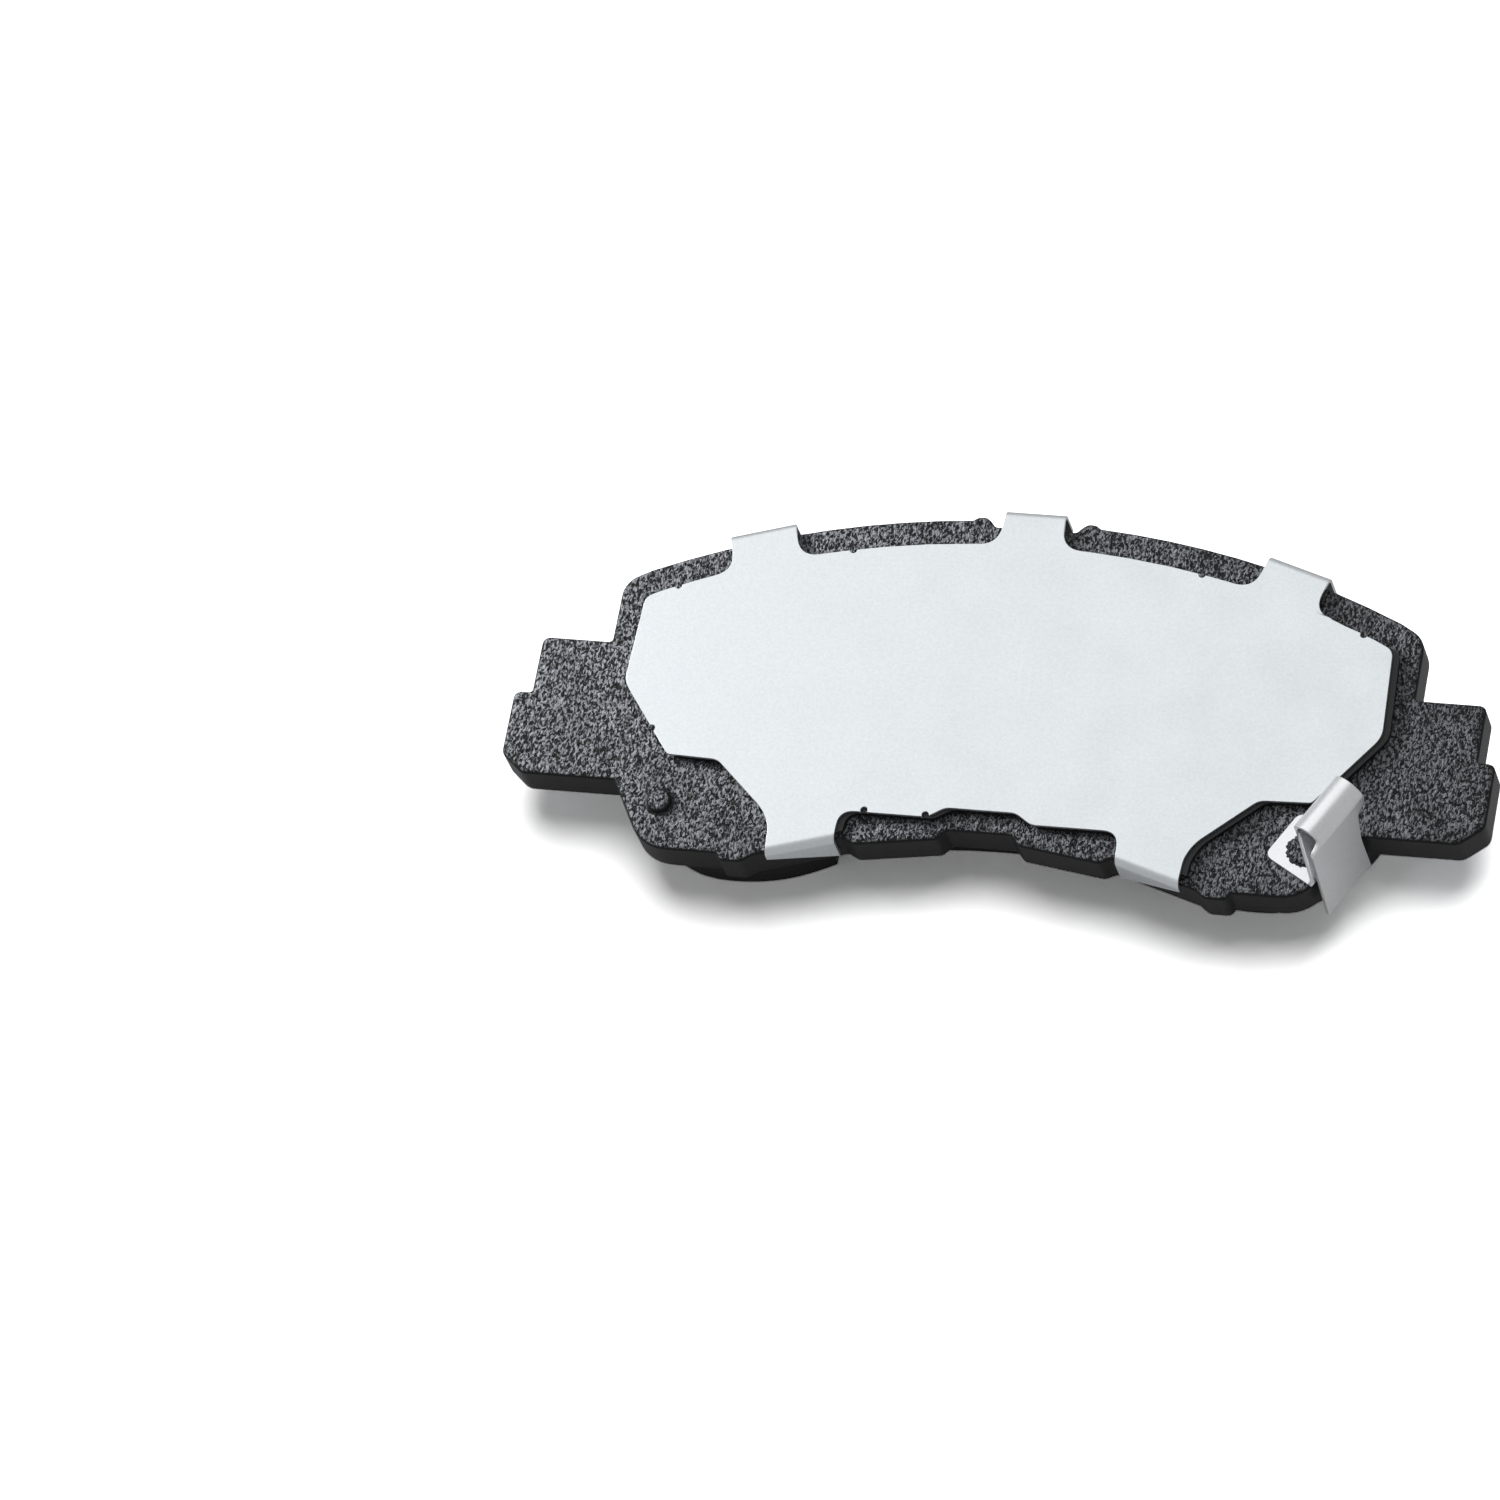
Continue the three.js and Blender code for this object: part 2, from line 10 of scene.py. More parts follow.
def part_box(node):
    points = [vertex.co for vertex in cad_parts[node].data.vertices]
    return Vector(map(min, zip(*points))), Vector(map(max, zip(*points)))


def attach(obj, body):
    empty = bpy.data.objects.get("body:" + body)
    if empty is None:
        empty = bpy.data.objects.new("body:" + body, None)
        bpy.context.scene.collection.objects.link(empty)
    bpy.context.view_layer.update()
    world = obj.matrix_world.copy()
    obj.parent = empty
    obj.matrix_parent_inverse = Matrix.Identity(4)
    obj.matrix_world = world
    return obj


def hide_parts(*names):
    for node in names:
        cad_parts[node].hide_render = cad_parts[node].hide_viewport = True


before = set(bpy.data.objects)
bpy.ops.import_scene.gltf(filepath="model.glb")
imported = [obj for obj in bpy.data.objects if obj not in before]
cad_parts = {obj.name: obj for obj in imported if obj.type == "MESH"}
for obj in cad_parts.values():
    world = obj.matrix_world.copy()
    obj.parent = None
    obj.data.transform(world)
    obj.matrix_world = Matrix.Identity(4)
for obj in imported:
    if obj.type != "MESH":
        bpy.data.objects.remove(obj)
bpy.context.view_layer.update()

bl_info = {
    "name": "Disc brake pad",
    "version": (1, 0, 0),
    "blender": (4, 5, 0),
    "location": "3D View > Sidebar > Brake pad",
    "description": "Builds a disc brake pad with its shims and wear indicator, and a plain studio stage",
    "category": "Add Mesh",
}

MM = 0.001
WELD = 1e-6
SHARP_ANGLE = math.radians(35)
FLAT_ANGLE = math.radians(0.4)

# A face counts as level when the Z of its normal is above this.
LEVEL_NORMAL = 0.99

PAD = "pad"
INNER_SHIM = "inner_shim"
OUTER_SHIM = "outer_shim"

# The plate's rolled rim: how its width is shared between two rings, from the edge inwards, the share of its
# drop that is left between them, and the narrow ring that keeps the flat face flat.
RIM_RINGS = (0.55, 0.45)
RIM_MIDDLE_DROP = 0.35
HOLDING_RING = 0.06 * MM

# The studs: how deep they are rooted in the plate, and the sheet thickness under the peened head.
ROOT_DEPTH = MM
INDICATOR_SHEET = 0.65 * MM

# The plain stud: radius of its foot and neck as shares of its own radius, height of the neck, share of its
# height where the dome starts, and how finely it is divided.
STUD_FOOT = 1.2
STUD_NECK = 1.01
NECK_HEIGHT = 0.25 * MM
DOME_START = 0.3
DOME_STEPS = 8
STUD_SIDES = 48

# The peened head: how far its torn rim strays and how often, and the shares of its radius outside which it
# is torn and cracked.
TEAR = 0.4 * MM
TEAR_SPACING = 0.4 * MM
TORN_FROM = 0.8
CRACKED_FROM = 0.84
HEAD_SIDES = 96

# The satin sheet: how much darker its speckles are, and how far its roughness strays each way.
SPECKLE_SHADE = 0.8
ROUGHNESS_SPREAD = 0.04

# The studio, in metres: how far the floor reaches each way, and each lamp's place and side. The key shines
# from its direction, spread over its angle.
FLOOR_REACH = 2.0
LAMPS = {
    "softbox": ((-0.18, 0.24, 0.53), 0.7),
    "side_lamp": ((-0.27, 0.08, 0.14), 0.1),
    "side_fill": ((-0.22, 0.08, 0.12), 0.08),
}
KEY_DIRECTION = (0.08, 0.41, 0.91)
KEY_ANGLE = math.radians(50)

# The camera's sensor, in millimetres.
SENSOR_WIDTH = 36


def linear(code):
    """An sRGB hex colour as linear red, green, blue and alpha."""
    channels = [int(code[i : i + 2], 16) / 255 for i in (1, 3, 5)]
    return [c / 12.92 if c <= 0.04045 else ((c + 0.055) / 1.055) ** 2.4 for c in channels] + [1.0]


def length(title, description, default):
    """A length property with its default in metres."""
    return bpy.props.FloatProperty(
        name=title, description=description, default=default, min=0.0, unit="LENGTH", precision=5
    )


def colour(title, description, default):
    """A colour property with its default as an sRGB hex value."""
    return bpy.props.FloatVectorProperty(
        name=title,
        description=description,
        default=linear(default),
        size=4,
        subtype="COLOR",
        min=0.0,
        max=1.0,
    )


def angle(title, description, degrees):
    """An angle property with its default in degrees."""
    return bpy.props.FloatProperty(
        name=title, description=description, default=math.radians(degrees), subtype="ANGLE"
    )


def amount(title, description, default):
    """A lamp's power, or a brightness."""
    return bpy.props.FloatProperty(name=title, description=description, default=default, min=0.0)


class PadSizes(bpy.types.PropertyGroup):
    """Sizes of the finish that the press tools leave on each piece."""

    roll_width: length("Roll width", "Width of the plate's rolled upper rim", 0.75 * MM)
    roll_drop: length("Roll drop", "How far the rolled rim dips at the plate's edge", 0.28 * MM)
    plate_edge: length("Plate edge", "Rounding of the plate's edges", 0.3 * MM)
    block_edge: length("Block edge", "Rounding of the friction blocks' edges", 0.3 * MM)
    sheet_edge: length("Sheet edge", "Rounding of the shims' and the indicator's cut edges", 0.09 * MM)
    film_edge: length("Film edge", "Rounding of the inner shim's edges", 0.05 * MM)


class PadColours(bpy.types.PropertyGroup):
    """Colours of the finishes, and the painted glint on the powder coat's grain."""

    coat: colour("Powder coat", "Black powder coat in its hollows", "#090a0b")
    # Painted glint: pale colour on the grain's ridges that stands in for light caught there. The coat itself
    # is black.
    coat_painted_glint: colour("Coat tops", "Powder coat where its grain catches the light", "#8a8d92")
    steel: colour("Shim steel", "Satin stainless sheet of the outer shim", "#e6ebee")
    spring: colour("Spring steel", "Bright rolled steel of the wear indicator", "#f1f3f5")
    film: colour("Rubber film", "Black film on the inner shim", "#0e0f11")
    core: colour("Shim core", "Dark rolled sheet inside the inner shim", "#1a1b1d")
    friction: colour("Friction compound", "Grey ground friction compound", "#868c8a")
    friction_green: colour("Friction clouds", "Greener clouds in the friction compound", "#868b7d")
    underlayer: colour("Underlayer", "Paler crumbs in the dark underlayer", "#37352f")
    resin: colour("Bond resin", "Cured resin between underlayer and plate", "#2a211a")
    floor: colour("Floor", "Plain white floor", "#fafafa")


class PadStage(bpy.types.PropertyGroup):
    """Camera and studio light."""

    azimuth: angle("Azimuth", "Camera's direction round the pad", 33.89)
    elevation: angle("Elevation", "Camera's height angle", 61.43)
    roll: angle("Roll", "Camera's turn about its own axis", -26.18)
    distance: length("Distance", "Camera's distance from its target", 1.5188)
    lens: bpy.props.FloatProperty(
        name="Lens", description="Focal length on a 36 mm sensor", default=247.05, unit="CAMERA"
    )
    target: bpy.props.FloatVectorProperty(
        name="Target",
        description="Point the camera looks at",
        default=(-0.0367, -0.0114, 0.015),
        unit="LENGTH",
    )
    sky: amount("Sky", "Strength of the even white surround", 0.036)
    reflected_sky: amount("Reflected sky", "Strength of the surround in reflections", 0.5)
    key: amount("Key", "Strength of the key light from above and behind", 0.55)
    softbox: amount("Softbox", "Power of the large overhead softbox", 1.02)
    side_lamp: amount("Side lamp", "Power of the low lamp on the left", 0.35)
    side_fill: amount("Side fill", "Power of the lamp that lights the left side without a reflection", 0.9)
    overlit: amount("Overlit floor", "How far the floor burns out to white round the pad's shadow", 10.5)
    floor_bounce: amount("Floor bounce", "How strongly the floor lights the pad from below", 2.7)


# Materials


def add_node(owner, kind, settings=None, links=None):
    """Adds one node to a material or world.

    Settings go by input name, input number or property name, and links by input name or number.
    """
    tree = owner.node_tree
    node = tree.nodes.new(kind)
    for name, value in (settings or {}).items():
        if isinstance(name, int) or name in node.inputs:
            node.inputs[name].default_value = value
        else:
            setattr(node, name, value)
    for name, output in (links or {}).items():
        tree.links.new(output, node.inputs[name])
    return node


def finish(name, **settings):
    """A new material with only its shader and output. Underscores stand for the spaces in an input's name."""
    material = bpy.data.materials.new(name)
    material.use_nodes = True
    material.node_tree.nodes.clear()
    inputs = {socket.replace("_", " "): value for socket, value in settings.items()}
    shader = add_node(material, "ShaderNodeBsdfPrincipled", inputs)
    add_node(material, "ShaderNodeOutputMaterial", links={"Surface": shader.outputs["BSDF"]})
    return material, shader


def per(size):
    """How often a pattern of one size repeats in a metre."""
    return 1 / size


def join(material, output, shader, socket):
    """Links an output to one of the shader's inputs."""
    material.node_tree.links.new(output, shader.inputs[socket])


def powder_coated_steel(colours):
    """Mild steel under black polyester powder coat, sprayed and baked.

    The powder leaves a crisp worm-like grain on the flat faces. Its ridges get a painted glint, pale in the
    base colour, with the black coat in the hollows between.
    The sheared walls stay smooth and darker, without the painted glint.
    """
    material, shader = finish("powder_coated_steel", Roughness=0.42, IOR=1.5, Specular_IOR_Level=0.24)
    coords = add_node(material, "ShaderNodeTexCoord").outputs["Object"]
    facing = add_node(material, "ShaderNodeNewGeometry").outputs["Normal"]
    upright = add_node(material, "ShaderNodeSeparateXYZ", links={"Vector": facing}).outputs["Z"]
    flat = add_node(material, "ShaderNodeMath", {"operation": "ABSOLUTE"}, {0: upright})
    grainy = add_node(
        material,
        "ShaderNodeMapRange",
        {"From Min": 0.78, "From Max": 0.96, "To Min": 0.015},
        {"Value": flat.outputs[0]},
    )
    stretched = add_node(
        material,
        "ShaderNodeMapping",
        {"Rotation": (0, 0, math.radians(12)), "Scale": (1.0, 0.6, 1.0)},
        {"Vector": coords},
    )
    grain = add_node(
        material,
        "ShaderNodeTexNoise",
        {"Scale": per(0.36 * MM), "Detail": 1.0, "Roughness": 0.5, "Distortion": 0.7},
        {"Vector": stretched.outputs["Vector"]},
    )
    patches = add_node(
        material,
        "ShaderNodeTexNoise",
        {"Scale": per(7 * MM), "Detail": 2.0, "Roughness": 0.5},
        {"Vector": coords},
    )
    # Painted glint: the grain's ridges on the flat faces are lit pale in the base colour.
    tops = add_node(
        material, "ShaderNodeMapRange", {"From Min": 0.44, "From Max": 0.6}, {"Value": grain.outputs["Fac"]}
    )
    painted_glints = add_node(
        material,
        "ShaderNodeMath",
        {"operation": "MULTIPLY"},
        {0: tops.outputs["Result"], 1: grainy.outputs["Result"]},
    )
    varied = add_node(
        material,
        "ShaderNodeMapRange",
        {"From Min": 0.3, "From Max": 0.7, "To Min": 0.7, "To Max": 1.0},
        {"Value": patches.outputs["Fac"]},
    )
    share = add_node(
        material,
        "ShaderNodeMath",
        {"operation": "MULTIPLY"},
        {0: painted_glints.outputs[0], 1: varied.outputs["Result"]},
    )
    shade = add_node(
        material,
        "ShaderNodeMix",
        {"data_type": "RGBA", 6: colours.coat, 7: colours.coat_painted_glint},
        {0: share.outputs[0]},
    )
    bump = add_node(
        material,
        "ShaderNodeBump",
        {"Distance": 0.6 * MM},
        {"Height": grain.outputs["Fac"], "Strength": grainy.outputs["Result"]},
    )
    join(material, shade.outputs[2], shader, "Base Color")
    join(material, bump.outputs["Normal"], shader, "Normal")
    return material


def cracked_rim():
    """The torn ring round the peened stud, where coat and steel have cracked: matt and nearly black."""
    material, shader = finish("cracked_rivet_rim", Roughness=0.85)
    coords = add_node(material, "ShaderNodeTexCoord").outputs["Object"]
    crumbs = add_node(
        material, "ShaderNodeTexNoise", {"Scale": per(0.3 * MM), "Detail": 3.0}, {"Vector": coords}
    )
    shade = add_node(
        material,
        "ShaderNodeMix",
        {"data_type": "RGBA", 6: linear("#0d0e10"), 7: linear("#4a4c50")},
        {0: crumbs.outputs["Fac"]},
    )
    bump = add_node(
        material, "ShaderNodeBump", {"Distance": 0.2 * MM}, {"Height": crumbs.outputs["Fac"]}
    )
    join(material, shade.outputs[2], shader, "Base Color")
    join(material, bump.outputs["Normal"], shader, "Normal")
    return material


def satin_steel_sheet(name, tint, roughness, grain_size, depth):
    """Steel sheet with a rolled satin finish: an even pale grey whose fine grain softens reflections.

    The real grain is much finer than a tenth of a millimetre, so it is drawn coarser than it is, to show.
    """
    material, shader = finish(name, Metallic=1.0, Roughness=roughness)
    coords = add_node(material, "ShaderNodeTexCoord").outputs["Object"]
    grain = add_node(
        material,
        "ShaderNodeTexNoise",
        {"Scale": per(grain_size), "Detail": 3.0, "Roughness": 0.6},
        {"Vector": coords},
    )
    clouds = add_node(
        material, "ShaderNodeTexNoise", {"Scale": per(9 * MM), "Detail": 2.0}, {"Vector": coords}
    )
    darker = [c * SPECKLE_SHADE for c in tint[:3]] + [1.0]
    speckle = add_node(
        material, "ShaderNodeMix", {"data_type": "RGBA", 6: darker, 7: tint}, {0: grain.outputs["Fac"]}
    )
    rough = add_node(
        material,
        "ShaderNodeMapRange",
        {
            "From Min": 0.3,
            "From Max": 0.7,
            "To Min": roughness - ROUGHNESS_SPREAD,
            "To Max": roughness + ROUGHNESS_SPREAD,
        },
        {"Value": clouds.outputs["Fac"]},
    )
    bump = add_node(
        material, "ShaderNodeBump", {"Distance": depth, "Strength": 0.5}, {"Height": grain.outputs["Fac"]}
    )
    join(material, speckle.outputs[2], shader, "Base Color")
    join(material, rough.outputs["Result"], shader, "Roughness")
    join(material, bump.outputs["Normal"], shader, "Normal")
    return material


def nitrile_film(colours):
    """Nitrile rubber film, rolled on to the inner shim: smooth, deep black, with a dull sheen."""
    material, shader = finish("nitrile_film", Roughness=0.55, IOR=1.5)
    coords = add_node(material, "ShaderNodeTexCoord").outputs["Object"]
    mottle = add_node(
        material, "ShaderNodeTexNoise", {"Scale": per(1.2 * MM), "Detail": 2.0}, {"Vector": coords}
    )
    shade = add_node(
        material,
        "ShaderNodeMix",
        {"data_type": "RGBA", 6: colours.film, 7: linear("#17181b")},
        {0: mottle.outputs["Fac"]},
    )
    join(material, shade.outputs[2], shader, "Base Color")
    return material


def dark_rolled_sheet(colours):
    """Cold rolled sheet with a dark oxide, seen only as a thin line between the films."""
    material, shader = finish("dark_rolled_sheet", Metallic=0.6, Roughness=0.45)
    coords = add_node(material, "ShaderNodeTexCoord").outputs["Object"]
    streaks = add_node(
        material, "ShaderNodeTexNoise", {"Scale": per(0.6 * MM), "Detail": 2.0}, {"Vector": coords}
    )
    shade = add_node(
        material,
        "ShaderNodeMix",
        {"data_type": "RGBA", 6: colours.core, 7: linear("#2b2c2f")},
        {0: streaks.outputs["Fac"]},
    )
    join(material, shade.outputs[2], shader, "Base Color")
    return material


def friction_compound(colours):
    """Hot pressed and ground friction compound: resin, fibres, graphite and metal chips.

    The ground faces read grey green and clouded, with painted shade where the bump is low, and a fine scatter
    of dark graphite flecks and bright chips.
    The long sides are black with the plate's overspray.
    """
    material, shader = finish("friction_compound", Roughness=0.8, IOR=1.5)
    coords = add_node(material, "ShaderNodeTexCoord").outputs["Object"]
    clouds = add_node(
        material,
        "ShaderNodeTexNoise",
        {"Scale": per(14 * MM), "Detail": 3.0, "Roughness": 0.6},
        {"Vector": coords},
    )
    body = add_node(
        material,
        "ShaderNodeTexNoise",
        {"Scale": per(1.6 * MM), "Detail": 5.0, "Roughness": 0.75},
        {"Vector": coords},
    )
    flecks = add_node(
        material,
        "ShaderNodeTexNoise",
        {"Scale": per(0.55 * MM), "Detail": 2.0, "Roughness": 0.6},
        {"Vector": coords},
    )
    greener = add_node(
        material, "ShaderNodeMapRange", {"From Min": 0.35, "From Max": 0.65}, {"Value": clouds.outputs["Fac"]}
    )
    base = add_node(
        material,
        "ShaderNodeMix",
        {"data_type": "RGBA", 6: colours.friction, 7: colours.friction_green},
        {0: greener.outputs["Result"]},
    )
    # Painted shade: the ground face is darker where its bump is low, as if shade lay in its hollows.
    hollow_shade_mask = add_node(
        material, "ShaderNodeMapRange", {"From Min": 0.3, "From Max": 0.7}, {"Value": body.outputs["Fac"]}
    )
    painted_hollow_shade = add_node(
        material,
        "ShaderNodeMix",
        {"data_type": "RGBA", 6: linear("#666c69")},
        {0: hollow_shade_mask.outputs["Result"], 7: base.outputs[2]},
    )
    graphite = add_node(
        material, "ShaderNodeMapRange", {"From Min": 0.56, "From Max": 0.66}, {"Value": flecks.outputs["Fac"]}
    )
    flecked = add_node(
        material,
        "ShaderNodeMix",
        {"data_type": "RGBA", 7: linear("#3c403f")},
        {0: graphite.outputs["Result"], 6: painted_hollow_shade.outputs[2]},
    )
    fibres = add_node(
        material, "ShaderNodeMapRange", {"From Min": 0.4, "From Max": 0.3}, {"Value": flecks.outputs["Fac"]}
    )
    fibrous = add_node(
        material,
        "ShaderNodeMix",
        {"data_type": "RGBA", 7: linear("#a9b0ae")},
        {0: fibres.outputs["Result"], 6: flecked.outputs[2]},
    )
    cells = add_node(material, "ShaderNodeTexVoronoi", {"Scale": per(1.3 * MM)}, {"Vector": coords})
    near = add_node(
        material,
        "ShaderNodeMapRange",
        {"From Min": 0.17, "From Max": 0.11},
        {"Value": cells.outputs["Distance"]},
    )
    picked = add_node(
        material, "ShaderNodeMapRange", {"From Min": 0.5, "From Max": 0.56}, {"Value": cells.outputs["Color"]}
    )
    chips = add_node(
        material,
        "ShaderNodeMath",
        {"operation": "MULTIPLY"},
        {0: near.outputs["Result"], 1: picked.outputs["Result"]},
    )
    glinting = add_node(
        material,
        "ShaderNodeMix",
        {"data_type": "RGBA", 7: linear("#e9edee")},
        {0: chips.outputs[0], 6: fibrous.outputs[2]},
    )
    facing = add_node(material, "ShaderNodeNewGeometry").outputs["Normal"]
    across = add_node(material, "ShaderNodeSeparateXYZ", links={"Vector": facing}).outputs["Y"]
    sideways = add_node(material, "ShaderNodeMath", {"operation": "ABSOLUTE"}, {0: across})
    ground = add_node(
        material, "ShaderNodeMapRange", {"From Min": 0.5, "From Max": 0.25}, {"Value": sideways.outputs[0]}
    )
    shade = add_node(
        material,
        "ShaderNodeMix",
        {"data_type": "RGBA", 6: linear("#141517")},
        {0: ground.outputs["Result"], 7: glinting.outputs[2]},
    )
    metal = add_node(
        material,
        "ShaderNodeMath",
        {"operation": "MULTIPLY"},
        {0: chips.outputs[0], 1: ground.outputs["Result"]},
    )
    bump = add_node(material, "ShaderNodeBump", {"Distance": 0.12 * MM}, {"Height": body.outputs["Fac"]})
    join(material, shade.outputs[2], shader, "Base Color")
    join(material, metal.outputs[0], shader, "Metallic")
    join(material, bump.outputs["Normal"], shader, "Normal")
    return material


def coarse_underlayer(colours):
    """Hot pressed underlayer: coarse mineral crumbs in dark resin, brown black and matt."""
    material, shader = finish("coarse_underlayer", Roughness=0.9, IOR=1.5)
    coords = add_node(material, "ShaderNodeTexCoord").outputs["Object"]
    crumbs = add_node(
        material,
        "ShaderNodeTexNoise",
        {"Scale": per(0.9 * MM), "Detail": 4.0, "Roughness": 0.7},
        {"Vector": coords},
    )
    shade = add_node(
        material,
        "ShaderNodeMix",
        {"data_type": "RGBA", 6: linear("#1b1a19"), 7: colours.underlayer},
        {0: crumbs.outputs["Fac"]},
    )
    bump = add_node(
        material, "ShaderNodeBump", {"Distance": 0.5 * MM}, {"Height": crumbs.outputs["Fac"]}
    )
    join(material, shade.outputs[2], shader, "Base Color")
    join(material, bump.outputs["Normal"], shader, "Normal")
    return material


def cured_resin(colours):
    """Phenolic bond resin, cured in the press: thin, dark brown and slightly glossy."""
    material, shader = finish("cured_resin", Roughness=0.4, IOR=1.55)
    coords = add_node(material, "ShaderNodeTexCoord").outputs["Object"]
    flow = add_node(material, "ShaderNodeTexNoise", {"Scale": per(2 * MM), "Detail": 2.0}, {"Vector": coords})
    shade = add_node(
        material,
        "ShaderNodeMix",
        {"data_type": "RGBA", 6: linear("#17120e"), 7: colours.resin},
        {0: flow.outputs["Fac"]},
    )
    join(material, shade.outputs[2], shader, "Base Color")
    return material


def white_floor(colours, stage):
    """Matt white studio board, overlit so that it burns out to white everywhere but in the pad's shadow."""
    material, shader = finish("white_studio_board", Roughness=0.95, Specular_IOR_Level=0.1)
    seen = add_node(material, "ShaderNodeLightPath").outputs["Is Camera Ray"]
    burnt_out = [c * stage.overlit for c in colours.floor[:3]] + [1.0]
    bounced = [c * stage.floor_bounce for c in colours.floor[:3]] + [1.0]
    shade = add_node(material, "ShaderNodeMix", {"data_type": "RGBA", 6: bounced, 7: burnt_out}, {0: seen})
    join(material, shade.outputs[2], shader, "Base Color")
    return material


# Shapes


def welded_copy(node):
    """A bmesh copy of a CAD node with its triangles welded and its flat areas joined into whole faces."""
    shape = bmesh.new()
    shape.from_mesh(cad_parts[node].data)
    bmesh.ops.remove_doubles(shape, verts=shape.verts, dist=WELD)
    bmesh.ops.dissolve_limit(shape, angle_limit=FLAT_ANGLE, verts=shape.verts, edges=shape.edges)
    return shape


def outline_at(node, level):
    """A bmesh with one face: the CAD node's flat outline at one level."""
    shape = welded_copy(node)
    other = [f for f in shape.faces if any(abs(v.co.z - level) > WELD for v in f.verts)]
    bmesh.ops.delete(shape, geom=other, context="FACES")
    bmesh.ops.dissolve_faces(shape, faces=shape.faces[:])
    return shape


def box_above(node, level, side):
    """The box round what stands above one level of a CAD node on its left (-1) or right (1) half."""
    points = [v.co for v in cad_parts[node].data.vertices if v.co.z > level + WELD and v.co.x * side > 0]
    low = Vector([min(p[axis] for p in points) for axis in range(3)])
    high = Vector([max(p[axis] for p in points) for axis in range(3)])
    return low, high


def raise_outline(shape, height):
    """Extrudes a lone outline upwards into a closed slab."""
    made = bmesh.ops.extrude_face_region(shape, geom=shape.faces[:])
    upper = [g for g in made["geom"] if isinstance(g, bmesh.types.BMVert)]
    bmesh.ops.translate(shape, vec=(0, 0, height), verts=upper)
    bmesh.ops.recalc_face_normals(shape, faces=shape.faces)


def is_sharp(edge):
    return len(edge.link_faces) == 2 and edge.calc_face_angle() > SHARP_ANGLE


def round_edges(shape, edges, width, segments):
    bmesh.ops.bevel(
        shape,
        geom=edges,
        offset=width,
        offset_type="OFFSET",
        segments=segments,
        profile=0.5,
        affect="EDGES",
        clamp_overlap=False,
        material=-1,
        loop_slide=True,
    )


def make_piece(shape, name, body, material, replaced=()):
    """Turns a bmesh into a finished piece that rides on a body, with even shading across its flats."""
    for face in shape.faces:
        face.smooth = True
    for edge in shape.edges:
        edge.smooth = not is_sharp(edge)
    mesh = bpy.data.meshes.new(name)
    shape.to_mesh(mesh)
    shape.free()
    mesh.materials.append(material)
    piece = bpy.data.objects.new(name, mesh)
    bpy.context.scene.collection.objects.link(piece)
    shading = piece.modifiers.new("even shading", "WEIGHTED_NORMAL")
    shading.keep_sharp = True
    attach(piece, body)
    if replaced:
        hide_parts(*replaced)
    return piece


def pressed_sheet(node, edge_width, body, material):
    """A sheet metal piece: the CAD shape with its cut edges lightly rounded."""
    shape = welded_copy(node)
    round_edges(shape, [e for e in shape.edges if is_sharp(e)], edge_width, segments=2)
    return make_piece(shape, node + "_sheet", body, material, [node])


def turned_piece(profile, centre, steps):
    """A turned solid about +Z from a profile of (radius, height) points that starts and ends on the axis."""
    shape = bmesh.new()
    points = [shape.verts.new((radius, 0, height)) for radius, height in profile]
    lines = [shape.edges.new(pair) for pair in zip(points, points[1:])]
    bmesh.ops.spin(
        shape,
        geom=points + lines,
        axis=(0, 0, 1),
        cent=(0, 0, 0),
        angle=math.tau,
        steps=steps,
        use_merge=True,
    )
    bmesh.ops.remove_doubles(shape, verts=shape.verts, dist=WELD)
    bmesh.ops.recalc_face_normals(shape, faces=shape.faces)
    bmesh.ops.translate(shape, vec=centre, verts=shape.verts)
    return shape


